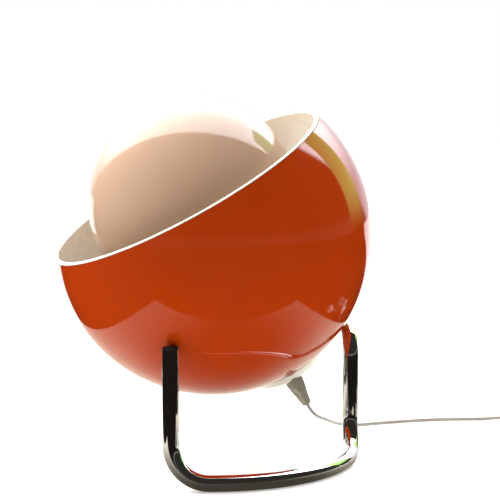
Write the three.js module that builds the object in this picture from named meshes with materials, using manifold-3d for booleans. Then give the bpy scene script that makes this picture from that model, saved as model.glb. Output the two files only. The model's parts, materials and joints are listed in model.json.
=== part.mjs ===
// Ball table lamp: an orange shell with a slanted opening lies in a cradle bent from one chromed tube.
// A white liner, an opal globe and an E27 lampholder sit inside the shell on one hollow threaded rod.
// Millimetres, +Z up. The origin is on the table under the centre of the ball, and the opening leans to -X.
import * as THREE from "three";
import { mergeVertices } from "three/addons/utils/BufferGeometryUtils.js";
import Module from "manifold-3d";

const wasm = await Module();
wasm.setup();

// ---------- driving dimensions ----------
const GAP = 0.3;
const BALL_R = 150;
const BALL_HEIGHT = 214;
const LEAN_DEG = 29.4;
const LEAN_AZIMUTH_DEG = 196.6;
const OPENING_PLANE = 55;
const SHELL_WALL = 1.8;
const LINER_WALL = 1.5;
const SHELL_SIDES = 36;
const SHELL_STEPS = 10;
const GLOBE_R = 100;
const GLOBE_OFFSET = 35.4;
const GLASS = 3;
const GLOBE_SIDES = 30;
const GLOBE_STEPS = 9;
const NECK_R = 40;
const NECK_END = -72;
const TUBE_R = 7.5;
const TUBE_BORE_R = 6.5;
const STAND_R = 130.7;
const POST_AZIMUTHS_DEG = [-105.5, 2.5, 110.5];
const FLOOR_BEND_R = 34;
const UPPER_BEND_R = 26;
const SLEEVE_R = 9.3;
const SLEEVE_BORE_R = 8.2;
const ROD_R = 5;
const ROD_BORE_R = 3.5;
const ROD_HOLE_R = 5.4;
const WALL_HOLE_R = 6.5;
const CORD_R = 1.7;
const CONE_END = -191.5;
const CAP_R = 13.2;
const BULB_R = 30;

const LINER_R = BALL_R - SHELL_WALL - GAP;
const LINER_INNER_R = LINER_R - LINER_WALL;

// ---------- materials ----------
function finish(color, roughness, metalness) {
  return new THREE.MeshStandardMaterial({ color, roughness, metalness });
}

const orange = finish(0xc8430e, 0.15, 0);
const cream = finish(0xf4ead8, 0.35, 0);
const opal = finish(0xf3e9e2, 0.1, 0);
const chrome = finish(0xb8bcc0, 0.08, 1);
const black = finish(0x111111, 0.6, 0);
const beige = finish(0x8c8778, 0.55, 0);
const steel = finish(0x9a9ca0, 0.35, 1);
const whiteMetal = finish(0xe8e6e0, 0.45, 0.2);
const brass = finish(0xc9a052, 0.3, 1);
const ceramic = finish(0xf1efe8, 0.5, 0);
const clearGlass = finish(0xe9eef0, 0.05, 0);
const blackPlastic = finish(0x1c1b1a, 0.4, 0);
const whiteCord = finish(0xb9b6ae, 0.5, 0);
const whitePlastic = finish(0xd9d6cd, 0.4, 0);

// ---------- shape helpers ----------
const radians = THREE.MathUtils.degToRad;

function named(name, geometry, material) {
  const mesh = new THREE.Mesh(geometry, material);
  mesh.name = name;
  return mesh;
}

// Turns a closed outline of [radius, z] points about Z. The outline's direction is put right first.
function turned(outline, sides) {
  const points = outline.map(([r, z]) => new THREE.Vector2(r, z));
  if (THREE.ShapeUtils.area(points) < 0) points.reverse();
  points.push(points[0].clone());
  return new THREE.LatheGeometry(points, sides).rotateX(Math.PI / 2);
}

// Turns an open outline that starts and ends on the axis about Z.
function turnedSolid(outline, sides) {
  const points = outline.map(([r, z]) => new THREE.Vector2(r, z));
  if (THREE.ShapeUtils.area(points) < 0) points.reverse();
  return new THREE.LatheGeometry(points, sides).rotateX(Math.PI / 2);
}

// Points [radius, z] on a circle about [0, centre], between two angles counted up from -Z.
function arcPoints(radius, centre, fromAngle, toAngle, steps) {
  return Array.from({ length: steps + 1 }, (_, i) => {
    const angle = fromAngle + ((toAngle - fromAngle) * i) / steps;
    return [radius * Math.sin(angle), centre - radius * Math.cos(angle)];
  });
}

function washer(innerR, outerR, low, high, sides) {
  return turned([[outerR, low], [outerR, high], [innerR, high], [innerR, low]], sides);
}

function disc(radius, low, high, sides) {
  return turnedSolid([[0, low], [radius, low], [radius, high], [0, high]], sides);
}

function hexNut(acrossFlats, holeR, low, high) {
  const shape = new THREE.Shape(polygon(acrossFlats / Math.sqrt(3), 6));
  shape.holes.push(new THREE.Path(polygon(holeR, 16).reverse()));
  return slab(shape, low, high);
}

function polygon(radius, sides) {
  return Array.from({ length: sides }, (_, i) => {
    const angle = (2 * Math.PI * i) / sides;
    return new THREE.Vector2(radius * Math.cos(angle), radius * Math.sin(angle));
  });
}

function slab(shape, low, high) {
  const depth = high - low;
  return new THREE.ExtrudeGeometry(shape, { depth, bevelEnabled: false, curveSegments: 8 })
    .translate(0, 0, low);
}

function tubeAlong(curve, radius, sides, steps, boreR = 0) {
  const shape = new THREE.Shape(polygon(radius, sides));
  if (boreR > 0) shape.holes.push(new THREE.Path(polygon(boreR, sides).reverse()));
  return new THREE.ExtrudeGeometry(shape, { steps, extrudePath: curve, bevelEnabled: false });
}

// A flat shape with half-round ends along X.
function stadium(length, width) {
  const r = width / 2;
  const straight = length / 2 - r;
  const shape = new THREE.Shape();
  shape.moveTo(-straight, -r);
  shape.lineTo(straight, -r);
  shape.absarc(straight, 0, r, -Math.PI / 2, Math.PI / 2);
  shape.lineTo(-straight, r);
  shape.absarc(-straight, 0, r, Math.PI / 2, (3 * Math.PI) / 2);
  return shape;
}

function rectangle(length, width) {
  const [x, y] = [length / 2, width / 2];
  return new THREE.Shape([[-x, -y], [x, -y], [x, y], [-x, y]].map((p) => new THREE.Vector2(...p)));
}

function solid(geometry) {
  const bare = geometry.clone();
  bare.deleteAttribute("normal");
  bare.deleteAttribute("uv");
  const merged = mergeVertices(bare, 1e-3);
  const vertProperties = merged.attributes.position.array;
  const triVerts = new Uint32Array(merged.index.array);
  return new wasm.Manifold(new wasm.Mesh({ numProp: 3, vertProperties, triVerts }));
}

function geometryOf(manifold) {
  const mesh = manifold.getMesh();
  const geometry = new THREE.BufferGeometry();
  geometry.setAttribute("position", new THREE.BufferAttribute(mesh.vertProperties, 3));
  geometry.setIndex(new THREE.BufferAttribute(mesh.triVerts, 1));
  geometry.computeVertexNormals();
  return geometry;
}

function cut(body, ...tools) {
  return geometryOf(tools.reduce((left, tool) => left.subtract(solid(tool)), solid(body)));
}

function join(body, ...others) {
  return geometryOf(others.reduce((left, other) => left.add(solid(other)), solid(body)));
}

// ---------- stand: one bent tube, its plugs and its rest sleeves ----------
const contactR = BALL_R + GAP + SLEEVE_R;
const ARC_HEIGHT = BALL_HEIGHT - Math.sqrt(contactR ** 2 - STAND_R ** 2);
const FOOT_FLANGE = 3.7;
const PLUG_FLANGE = 2.5;
const PLUG_TOP = 129.3;
const PLUG_CHAMFER = 1.6;
const PLUG_STEM = 14;
const PLUG_STEM_R = TUBE_BORE_R - 2 * GAP;
const SLEEVE_AZIMUTHS_DEG = [30, 83];
const SLEEVE_LENGTH = 24;

// A point on the upright cylinder that the whole stand lies on.
function onStand(azimuth, z) {
  return new THREE.Vector3(STAND_R * Math.cos(azimuth), STAND_R * Math.sin(azimuth), z);
}

// Quarter bend on that cylinder, between an upright post and a level arc.
function bendPoints(azimuth, side, levelZ, up) {
  const radius = up > 0 ? FLOOR_BEND_R : UPPER_BEND_R;
  return [0, 1, 2, 3, 4, 5].map((i) => {
    const angle = (Math.PI / 2) * (i / 5);
    const along = radius * (1 - Math.cos(angle));
    const height = radius * (1 - Math.sin(angle));
    return onStand(azimuth + (side * along) / STAND_R, levelZ + up * height);
  });
}

function levelPoints(fromAzimuth, toAzimuth, z, bendR) {
  const margin = bendR / STAND_R;
  const first = fromAzimuth + margin;
  const last = toAzimuth - margin;
  return [1, 2, 3, 4, 5].map((i) => onStand(first + ((last - first) * i) / 6, z));
}

function standCurve() {
  const [a, b, c] = POST_AZIMUTHS_DEG.map(radians);
  const low = TUBE_R;
  const high = ARC_HEIGHT;
  const tubeTop = PLUG_TOP - PLUG_FLANGE - GAP;
  const tubeEnd = FOOT_FLANGE + GAP;
  const points = [
    onStand(a, tubeTop),
    onStand(a, (tubeTop + low + FLOOR_BEND_R) / 2),
    ...bendPoints(a, 1, low, 1),
    ...levelPoints(a, b, low, FLOOR_BEND_R),
    ...bendPoints(b, -1, low, 1).reverse(),
    onStand(b, (low + high) / 2),
    ...bendPoints(b, 1, high, -1),
    ...levelPoints(b, c, high, UPPER_BEND_R),
    ...bendPoints(c, -1, high, -1).reverse(),
    onStand(c, (high - UPPER_BEND_R + tubeEnd) / 2),
    onStand(c, tubeEnd),
  ];
  return new THREE.CatmullRomCurve3(points, false, "centripetal");
}

function sleeve(azimuth) {
  const half = SLEEVE_LENGTH / 2 / STAND_R;
  const points = [-1, -0.5, 0, 0.5, 1].map((t) => onStand(azimuth + t * half, ARC_HEIGHT));
  return tubeAlong(new THREE.CatmullRomCurve3(points), SLEEVE_R, 16, 4, SLEEVE_BORE_R);
}

function topPlug() {
  const flange = PLUG_TOP - PLUG_FLANGE;
  const geometry = turnedSolid([
    [0, flange - PLUG_STEM], [PLUG_STEM_R, flange - PLUG_STEM], [PLUG_STEM_R, flange], [TUBE_R, flange],
    [TUBE_R, PLUG_TOP - PLUG_CHAMFER], [TUBE_R - PLUG_CHAMFER, PLUG_TOP], [0, PLUG_TOP],
  ], 20);
  const at = onStand(radians(POST_AZIMUTHS_DEG[0]), 0);
  return geometry.translate(at.x, at.y, 0);
}

function footPlug() {
  const flangeR = TUBE_R + 0.6;
  const geometry = turnedSolid([
    [0, 0], [flangeR - 1, 0], [flangeR, 1], [flangeR, FOOT_FLANGE], [PLUG_STEM_R, FOOT_FLANGE],
    [PLUG_STEM_R, FOOT_FLANGE + PLUG_STEM], [0, FOOT_FLANGE + PLUG_STEM],
  ], 20);
  const at = onStand(radians(POST_AZIMUTHS_DEG[2]), 0);
  return geometry.translate(at.x, at.y, 0);
}

function makeStand() {
  const group = new THREE.Group();
  group.add(
    named("stand_tube", tubeAlong(standCurve(), TUBE_R, 10, 52, TUBE_BORE_R), chrome),
    named("top_plug", topPlug(), black),
    named("foot_plug", footPlug(), black),
  );
  SLEEVE_AZIMUTHS_DEG.forEach((azimuth, i) => {
    group.add(named(`rest_sleeve_${i + 1}`, sleeve(radians(azimuth)), black));
  });
  return group;
}

// ---------- ball: everything here is turned about the lamp axis, which is local +Z ----------
// Angle from -Z to where a sphere of this radius meets a level plane or a hole.
function angleAtPlane(radius, z) {
  return Math.acos(-z / radius);
}

// Profile of a shell's wall, from the hole at the pole up to a level plane.
function shellArc(radius, plane) {
  return arcPoints(radius, 0, Math.asin(WALL_HOLE_R / radius), angleAtPlane(radius, plane), SHELL_STEPS);
}

function outerShell() {
  const inner = BALL_R - SHELL_WALL;
  const edge = OPENING_PLANE - LINER_WALL - GAP;
  const outside = shellArc(BALL_R, edge);
  const inside = shellArc(inner, edge);
  return turned([...outside, ...inside.reverse()], SHELL_SIDES);
}

// The liner's rolled lip lies on the shell's cut edge and hides it.
function innerLiner() {
  const under = OPENING_PLANE - LINER_WALL;
  const lipUnder = Math.sqrt(BALL_R ** 2 - under ** 2);
  const lipTop = Math.sqrt(BALL_R ** 2 - OPENING_PLANE ** 2);
  const outside = shellArc(LINER_R, under);
  const inside = shellArc(LINER_INNER_R, OPENING_PLANE);
  return turned([...outside, [lipUnder, under], [lipTop, OPENING_PLANE], ...inside.reverse()], SHELL_SIDES);
}

function polePlate() {
  const sheet = 1.2;
  const face = -157;
  return turned([
    [42, -144.6], [40, -146.6], [34, -150.8], [27, -154.6], [20, face], [ROD_HOLE_R, face],
    [ROD_HOLE_R, face + sheet], [19.6, face + sheet], [26.3, -153.3], [33, -149.7], [40.4, -144.9],
  ], 24);
}

// Tapered strain relief: its neck screws on to the rod and clamps the plate.
function cordCone() {
  const top = -157 - GAP;
  const rodEnd = -164.3;
  return turned([
    [6.8, top], [6.8, top - 2], [8.6, top - 5], [9, top - 8], [8.4, top - 12.5], [6.4, top - 23],
    [4.5, CONE_END + 1.4], [3.6, CONE_END], [CORD_R + 0.6, CONE_END], [CORD_R + 0.6, rodEnd],
    [ROD_HOLE_R, rodEnd], [ROD_HOLE_R, top],
  ], 24);
}

const GALLERY_FLOOR = -76;
const GALLERY_SHEET = 1.2;
const GALLERY_R = 43.2;
const GALLERY_TOP = -60;
const SCREW_Z = -65;
const SCREW_COUNT = 3;

function radialScrewHole(turn) {
  return new THREE.CylinderGeometry(2.4, 2.4, 8, 12)
    .rotateZ(Math.PI / 2)
    .translate(GALLERY_R - 0.6, 0, SCREW_Z)
    .rotateZ(turn);
}

function galleryCup() {
  const cup = turned([
    [ROD_HOLE_R, GALLERY_FLOOR], [GALLERY_R - 2, GALLERY_FLOOR], [GALLERY_R, GALLERY_FLOOR + 2],
    [GALLERY_R, GALLERY_TOP], [GALLERY_R - GALLERY_SHEET, GALLERY_TOP],
    [GALLERY_R - GALLERY_SHEET, GALLERY_FLOOR + 2.4], [GALLERY_R - 2.6, GALLERY_FLOOR + GALLERY_SHEET],
    [ROD_HOLE_R, GALLERY_FLOOR + GALLERY_SHEET],
  ], 24);
  return cut(cup, ...screwTurns().map(radialScrewHole));
}

function screwTurns() {
  return Array.from({ length: SCREW_COUNT }, (_, i) => (2 * Math.PI * i) / SCREW_COUNT + Math.PI / 6);
}

// Thumb screw: its tip presses on the globe's neck through the gallery wall.
function galleryScrew(turn) {
  const tip = NECK_R + GAP;
  const head = GALLERY_R + GAP;
  const outline = [[0, tip], [2, tip], [2, head], [4, head], [4, head + 6], [3.2, head + 7], [0, head + 7]];
  return turnedSolid(outline, 14)
    .rotateY(Math.PI / 2)
    .translate(0, 0, SCREW_Z)
    .rotateZ(turn);
}

function opalGlobe() {
  const inner = GLOBE_R - GLASS;
  const neckInner = NECK_R - GLASS;
  const inside = arcPoints(inner, GLOBE_OFFSET, Math.asin(neckInner / inner), Math.PI, GLOBE_STEPS);
  const outside = arcPoints(GLOBE_R, GLOBE_OFFSET, Math.asin(NECK_R / GLOBE_R), Math.PI, GLOBE_STEPS);
  inside[GLOBE_STEPS][0] = 0;
  outside[GLOBE_STEPS][0] = 0;
  const neck = [[neckInner, NECK_END], [NECK_R, NECK_END]];
  return turnedSolid([...inside.reverse(), ...neck, ...outside], GLOBE_SIDES);
}

function holderCap() {
  return turned([
    [ROD_HOLE_R, -70], [12, -70], [16, -67], [19.5, -58], [19.5, -48], [17.7, -48], [17.7, -57.6],
    [14.8, -65.2], [11.4, -68.2], [ROD_HOLE_R, -68.2],
  ], 24);
}

function holderBody() {
  return turned([[19.5, -47.7], [19.5, -44], [18.6, -43], [18, -18], [16.6, -18], [16.6, -47.7]], 24);
}

function bulbGlass() {
  const outside = [
    [12.4, -19.6], [13.4, -12], [16.5, -2], [22, 8], [27.4, 18], [BULB_R, 30], [29.2, 40], [25.5, 50],
    [18.6, 57.5], [9.6, 61.6],
  ];
  const inside = outside.map(([r, z]) => [r - 0.9, z]);
  inside[0][1] = outside[0][1];
  return turnedSolid([[0, 61.6], ...inside.reverse(), ...outside, [0, 62.6]], 14);
}

function bulbStem() {
  return turnedSolid([[0, -19.3], [10.5, -19.3], [10, -14], [4, -6], [3, 18], [0, 18]], 14);
}

function makeBall() {
  const ball = new THREE.Group();
  ball.add(
    named("outer_shell", outerShell(), orange),
    named("inner_liner", innerLiner(), cream),
    named("pole_plate", polePlate(), chrome),
    named("cord_cone", cordCone(), beige),
    named("threaded_rod", washer(ROD_BORE_R, ROD_R, -164, -66, 16), steel),
    named("wall_washer", washer(ROD_HOLE_R, 14, -144.7, -143.2, 16), steel),
    named("wall_nut", hexNut(17, ROD_HOLE_R, -142.9, -137.6), steel),
    named("lower_gallery_nut", hexNut(17, ROD_HOLE_R, -81.3, GALLERY_FLOOR - GAP), steel),
    named("gallery_cup", galleryCup(), whiteMetal),
    named("upper_gallery_nut", hexNut(17, ROD_HOLE_R, GALLERY_FLOOR + GALLERY_SHEET + GAP, -70.4), steel),
    named("opal_globe", opalGlobe(), opal),
    named("holder_cap", holderCap(), blackPlastic),
    named("holder_body", holderBody(), blackPlastic),
    named("contact_block", disc(16.2, -57, -47, 20), ceramic),
    named("screw_shell", washer(CAP_R + GAP, 14.2, -46.6, -24, 20), brass),
    named("centre_contact", disc(4, -46.7, -44.6, 12), brass),
    named("bulb_contact", turnedSolid([[0, -44.3], [4, -44.3], [8.6, -41.4], [0, -41.4]], 16), brass),
    named("bulb_cap", washer(CAP_R - 0.9, CAP_R, -41, -20, 20), brass),
    named("bulb_glass", bulbGlass(), clearGlass),
    named("bulb_stem", bulbStem(), clearGlass),
    named("inner_cable", disc(CORD_R, CONE_END, -57.4, 10), whiteCord),
  );
  screwTurns().forEach((turn, i) => ball.add(named(`gallery_screw_${i + 1}`, galleryScrew(turn), brass)));
  ball.position.z = BALL_HEIGHT;
  ball.quaternion.setFromUnitVectors(new THREE.Vector3(0, 0, 1), lampAxis());
  return ball;
}

// Unit vector from the ball's centre out through the middle of the opening.
function lampAxis() {
  const lean = radians(LEAN_DEG);
  const azimuth = radians(LEAN_AZIMUTH_DEG);
  const level = Math.sin(lean);
  return new THREE.Vector3(level * Math.cos(azimuth), level * Math.sin(azimuth), Math.cos(lean));
}

// ---------- cord: from the cone to the table, through a switch, into a tied coil, to a plug ----------
const CORD_SIDES = 8;
const SWITCH_AT = [342, 170];
const SWITCH_LENGTH = 60;
const SWITCH_WIDTH = 25;
const SWITCH_SPLIT = 9;
const SWITCH_TOP = 17;
const PIVOT_Z = 13.6;
const ENTRY_Z = 5;
const COIL_AT = [370.5, 118];
const COIL_INNER_R = 15.2;
const COIL_OUTER_R = 25.6;
const COIL_HEIGHT = 14.1;
const PLUG_AT = [324, 32];
const DROP_POINTS = [
  [93.2, 27.8, 41.7], [97.8, 31.5, 35.9], [102.6, 40, 31.2], [107.5, 54, 26.8], [112.3, 71, 21.6],
  [117, 89, 16.2], [122.4, 105.5, 11.3], [128.2, 118.2, 7.6], [130.2, 121.5, 6.65],
];
const RUN_POINTS = [
  [132.2, 124.8, 5.7], [139.4, 133.9, 3.3], [150.5, 142.3, 1.9], [165, 148.7, 1.8], [189, 157, 1.8],
  [215, 164.5, 1.8], [245, 169.5, 1.8], [275, 171, 1.9], [295, 170.4, 2.9], [305, 170, 4.4],
  [311.7, 170, ENTRY_Z],
];
const LINK_POINTS = [
  [372.3, 170, ENTRY_Z], [378, 169.3, 4.8], [383.3, 167.1, 4.1], [387.9, 163.6, 3.2], [391.4, 159, 2.4],
  [393.6, 153.7, 1.9], [394.3, 148, 1.8], [394.3, 141, 1.8], [394.3, 131.4, 1.8],
];
const TAIL_POINTS = [
  [357.3, 94.2, 1.8], [351.5, 94.2, 1.8], [346, 94.2, 1.8], [340.3, 93.4, 1.8], [335, 91.3, 1.9],
  [330.4, 87.8, 2.3], [326.9, 83.2, 2.9], [324.7, 77.9, 3.7], [324, 72.2, 4.6], [324, 66, 5.5],
  [324, 59.3, 6],
];

function cordAlong(points, steps) {
  const curve = new THREE.CatmullRomCurve3(points.map((p) => new THREE.Vector3(...p)), false, "centripetal");
  return tubeAlong(curve, CORD_R, CORD_SIDES, steps);
}

function exitPoint() {
  return lampAxis().multiplyScalar(CONE_END - GAP).add(new THREE.Vector3(0, 0, BALL_HEIGHT)).toArray();
}

// The end of the drop and the start of the run face each other with the usual gap.
function runStart() {
  const last = new THREE.Vector3(...DROP_POINTS.at(-1));
  const next = new THREE.Vector3(...RUN_POINTS[0]);
  return last.lerp(next, GAP / last.distanceTo(next)).toArray();
}

function switchParts() {
  const pocket = slab(stadium(SWITCH_LENGTH - 4, SWITCH_WIDTH - 4), 2, SWITCH_SPLIT + 1);
  const base = cut(slab(stadium(SWITCH_LENGTH, SWITCH_WIDTH), 0, SWITCH_SPLIT), pocket);
  const room = slab(stadium(SWITCH_LENGTH - 4, SWITCH_WIDTH - 4), SWITCH_SPLIT, SWITCH_TOP - 2);
  const window = slab(rectangle(26, 13), SWITCH_TOP - 3, SWITCH_TOP + 1);
  const top = slab(stadium(SWITCH_LENGTH, SWITCH_WIDTH), SWITCH_SPLIT + GAP, SWITCH_TOP);
  const cover = cut(top, room, window);
  const pivot = new THREE.CylinderGeometry(1, 1, 18, 12).translate(0, 0, PIVOT_Z);
  const parts = [
    named("switch_base", base, whitePlastic),
    named("switch_cover", cover, whitePlastic),
    named("switch_rocker", rocker(), blackPlastic),
    named("rocker_pin", pivot, steel),
    named("switch_contact_in", slab(rectangle(5, 8), 2.3, 5).translate(-9, 0, 0), brass),
    named("switch_contact_out", slab(rectangle(5, 8), 2.3, 5).translate(9, 0, 0), brass),
  ];
  parts.forEach((part) => part.position.set(SWITCH_AT[0], SWITCH_AT[1], 0));
  return parts;
}

// Shallow vee seen from the side, so that one end stands up while the other lies level with the cover.
function rocker() {
  const outline = [[-11, 10.5], [11, 10.5], [11, 17.2], [5, 16.8], [0, 17.2], [-5, 18.3], [-11, 20.2]];
  const shape = new THREE.Shape(outline.map((p) => new THREE.Vector2(...p)));
  const body = new THREE.ExtrudeGeometry(shape, { depth: 12, bevelEnabled: false })
    .rotateX(Math.PI / 2)
    .translate(0, 6, 0);
  return cut(body, new THREE.CylinderGeometry(1.3, 1.3, 20, 12).translate(0, 0, PIVOT_Z));
}

function coilSolid() {
  const [x, y] = COIL_AT;
  return turned([
    [COIL_INNER_R, 2.5], [COIL_INNER_R + 2, 0.9], [COIL_OUTER_R - 2, 0.9], [COIL_OUTER_R, 2.5],
    [COIL_OUTER_R, COIL_HEIGHT - 2], [COIL_OUTER_R - 2, COIL_HEIGHT], [COIL_INNER_R + 2, COIL_HEIGHT],
    [COIL_INNER_R, COIL_HEIGHT - 2],
  ], 28).translate(x, y, 0);
}

// Band around the bundle of turns, on the coil's far side from the switch.
function coilTie() {
  const [x, y] = COIL_AT;
  const middle = (COIL_INNER_R + COIL_OUTER_R) / 2;
  const width = COIL_OUTER_R - COIL_INNER_R;
  const shape = rectangle(width + 4, COIL_HEIGHT + 1.4);
  shape.holes.push(new THREE.Path(rectangle(width + 2, COIL_HEIGHT - 0.2).getPoints().reverse()));
  return new THREE.ExtrudeGeometry(shape, { depth: 7, bevelEnabled: false })
    .rotateX(Math.PI / 2)
    .translate(x - middle, y + 3.5, (COIL_HEIGHT + 1.4) / 2);
}

function plugParts() {
  const shape = new THREE.Shape([
    [-4, 14], [-13, 6], [-13, -13], [-10, -16], [10, -16], [13, -13], [13, 6], [4, 14],
  ].map((p) => new THREE.Vector2(...p)));
  const body = join(
    slab(shape, 0, 13),
    new THREE.CylinderGeometry(2.4, 4, 14, 12).translate(0, 20, 6),
  );
  const parts = [named("plug_body", body, whitePlastic)];
  [-1, 1].forEach((side, i) => {
    const pin = new THREE.CylinderGeometry(2, 2, 19, 12).translate(side * 9.3, -16.3 - 9.5, 6.5);
    parts.push(named(`plug_pin_${i + 1}`, pin, brass));
  });
  parts.forEach((part) => part.position.set(PLUG_AT[0], PLUG_AT[1], 0));
  return parts;
}

function makeCord() {
  const group = new THREE.Group();
  group.add(
    named("cord_drop", cordAlong([exitPoint(), ...DROP_POINTS], 20), whiteCord),
    named("cord_run", cordAlong([runStart(), ...RUN_POINTS], 24), whiteCord),
    named("cord_link", cordAlong(LINK_POINTS, 10), whiteCord),
    named("cord_coil", coilSolid(), whiteCord),
    named("coil_tie", coilTie(), black),
    named("cord_tail", cordAlong(TAIL_POINTS, 6), whiteCord),
    ...switchParts(),
    ...plugParts(),
  );
  return group;
}

const lamp = new THREE.Group();
lamp.add(makeStand(), makeBall(), makeCord());

export default lamp;
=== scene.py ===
"""Ball table lamp: finished pieces, materials, floor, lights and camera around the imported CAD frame.

Metres, +Z up. The origin is on the table under the ball's centre. What is turned about the lamp's axis is
made in the lamp's own frame, with the ball's centre at its origin and +Z out of the opening."""
import json
from math import acos, asin, atan2, cos, hypot, pi, radians, sin, sqrt, tan, tau

import bmesh
import bpy
from mathutils import Matrix, Vector


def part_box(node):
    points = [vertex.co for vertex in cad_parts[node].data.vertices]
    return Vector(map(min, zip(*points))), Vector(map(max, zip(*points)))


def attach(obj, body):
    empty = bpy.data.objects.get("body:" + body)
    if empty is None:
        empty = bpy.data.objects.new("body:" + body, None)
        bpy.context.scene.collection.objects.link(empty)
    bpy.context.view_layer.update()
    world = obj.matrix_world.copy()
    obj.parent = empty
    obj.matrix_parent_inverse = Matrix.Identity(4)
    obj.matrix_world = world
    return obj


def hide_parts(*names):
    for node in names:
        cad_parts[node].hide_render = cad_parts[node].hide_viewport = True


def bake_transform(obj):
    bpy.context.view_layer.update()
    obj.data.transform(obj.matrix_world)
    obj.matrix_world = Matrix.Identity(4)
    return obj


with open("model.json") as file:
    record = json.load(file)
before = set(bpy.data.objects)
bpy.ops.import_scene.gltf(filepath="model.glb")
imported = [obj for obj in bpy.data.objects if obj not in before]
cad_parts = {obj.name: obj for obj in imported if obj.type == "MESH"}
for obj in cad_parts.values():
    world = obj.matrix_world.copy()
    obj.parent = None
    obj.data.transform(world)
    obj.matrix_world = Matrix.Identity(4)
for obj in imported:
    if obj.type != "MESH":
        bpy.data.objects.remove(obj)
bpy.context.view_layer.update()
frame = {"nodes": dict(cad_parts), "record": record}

MM = 0.001
UP = Vector((0, 0, 1))
JOINTS = {joint["name"]: joint for joint in frame["record"]["behaviour"]["joints"]}
BALL_CENTRE = Vector(JOINTS["ball_tilt"]["pos_m"])
LAMP_AXIS = Vector(JOINTS["globe_lift"]["axis"]).normalized()
LAMP = Matrix.Translation(BALL_CENTRE) @ UP.rotation_difference(LAMP_AXIS).to_matrix().to_4x4()
TO_LAMP = LAMP.inverted()
SQUARE = ((-1, -1), (1, -1), (1, 1), (-1, 1))
Z_TO_X = Matrix.Rotation(pi / 2, 4, "Y")
Z_TO_FRONT = Matrix.Rotation(pi / 2, 4, "X")
GAP = 0.3 * MM


def new_object(name, data):
    obj = bpy.data.objects.new(name, data)
    bpy.context.scene.collection.objects.link(obj)
    return obj


# ---------- camera ----------
def make_camera():
    data = bpy.data.cameras.new("camera")
    data.lens = 126.69
    data.sensor_width = 36
    data.clip_start = 0.01
    camera = new_object("camera", data)
    camera.location = (0.0349, -1.65, 0.3867)
    down = 6.456
    camera.rotation_euler = (radians(90 - down), 0, 0)
    bpy.context.scene.camera = camera


make_camera()


# ---------- measures taken from the frame ----------
class Turned:
    """Stations along the lamp's axis, and radii, of a CAD node that is turned about that axis."""

    def __init__(self, node):
        points = [TO_LAMP @ vertex.co for vertex in frame["nodes"][node].data.vertices]
        radii = [hypot(point.x, point.y) for point in points]
        self.low = min(point.z for point in points)
        self.high = max(point.z for point in points)
        self.outer = max(radii)
        self.inner = min(radii)
        self.far = max(point.length for point in points)
        self.near = min(point.length for point in points)


def middle(node):
    low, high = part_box(node)
    return (low + high) / 2


# ---------- outlines ----------
def arc(radius, centre, start, end, steps):
    """Points (radius, z) on a circle about (0, centre), between two angles counted up from -Z."""
    angles = [start + (end - start) * i / steps for i in range(steps + 1)]
    return [(radius * sin(angle), centre - radius * cos(angle)) for angle in angles]


def filleted(corners, steps=5):
    """Closed outline in which a corner given as (x, y, fillet) is rounded."""
    outline = []
    for i, corner in enumerate(corners):
        here = Vector(corner[:2])
        if len(corner) == 2:
            outline.append(tuple(here))
            continue
        before = Vector(corners[i - 1][:2]) - here
        after = Vector(corners[(i + 1) % len(corners)][:2]) - here
        reach = corner[2] / tan(before.angle(after) / 2)
        reach = min(reach, 0.48 * before.length, 0.48 * after.length)
        start = here + before.normalized() * reach
        end = here + after.normalized() * reach
        for k in range(steps + 1):
            t = k / steps
            outline.append(tuple(start * (1 - t) ** 2 + here * 2 * t * (1 - t) + end * t ** 2))
    return outline


def from_mm(rows, base=0.0):
    """Rows (radius, z) or (radius, z, fillet) from millimetres to metres, moved up to a base height."""
    return [(row[0] * MM, base + row[1] * MM, *(fillet * MM for fillet in row[2:])) for row in rows]


def spline(points, per_span=10):
    """Centripetal Catmull-Rom curve through the points."""
    ends = [points[0] * 2 - points[1], *points, points[-1] * 2 - points[-2]]
    curve = []
    for p0, p1, p2, p3 in zip(ends, ends[1:], ends[2:], ends[3:]):
        d0, d1, d2 = ((b - a).length ** 0.5 for a, b in ((p0, p1), (p1, p2), (p2, p3)))
        m1 = ((p1 - p0) / d0 - (p2 - p0) / (d0 + d1) + (p2 - p1) / d1) * d1
        m2 = ((p2 - p1) / d1 - (p3 - p1) / (d1 + d2) + (p3 - p2) / d2) * d1
        for k in range(per_span):
            t = k / per_span
            bend = (p2 - p1) * 3 - m1 * 2 - m2
            twist = (p1 - p2) * 2 + m1 + m2
            curve.append(p1 + m1 * t + bend * t ** 2 + twist * t ** 3)
    curve.append(points[-1].copy())
    return curve


def spread(path, step):
    """The same path with its points at an even distance of about one step."""
    lengths = [0.0]
    for a, b in zip(path, path[1:]):
        lengths.append(lengths[-1] + (b - a).length)
    count = max(2, round(lengths[-1] / step))
    even = []
    span = 0
    for i in range(count + 1):
        target = lengths[-1] * i / count
        while span < len(path) - 2 and lengths[span + 1] < target:
            span += 1
        share = (target - lengths[span]) / max(lengths[span + 1] - lengths[span], 1e-9)
        even.append(path[span].lerp(path[span + 1], min(share, 1)))
    return even


# ---------- meshes ----------
def shaded(mesh, sharp):
    """Smooth shading that breaks at edges sharper than an angle in degrees."""
    mesh.polygons.foreach_set("use_smooth", [True] * len(mesh.polygons))
    mesh.set_sharp_from_angle(angle=radians(sharp))


def piece(name, vertices, faces, sharp=35):
    """Smooth-shaded mesh object with its faces turned outwards."""
    mesh = bpy.data.meshes.new(name)
    work = bmesh.new()
    points = [work.verts.new(vertex) for vertex in vertices]
    for face in faces:
        work.faces.new([points[i] for i in face])
    bmesh.ops.remove_doubles(work, verts=work.verts, dist=1e-7)
    bmesh.ops.recalc_face_normals(work, faces=work.faces)
    work.to_mesh(mesh)
    work.free()
    shaded(mesh, sharp)
    return new_object(name, mesh)


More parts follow.
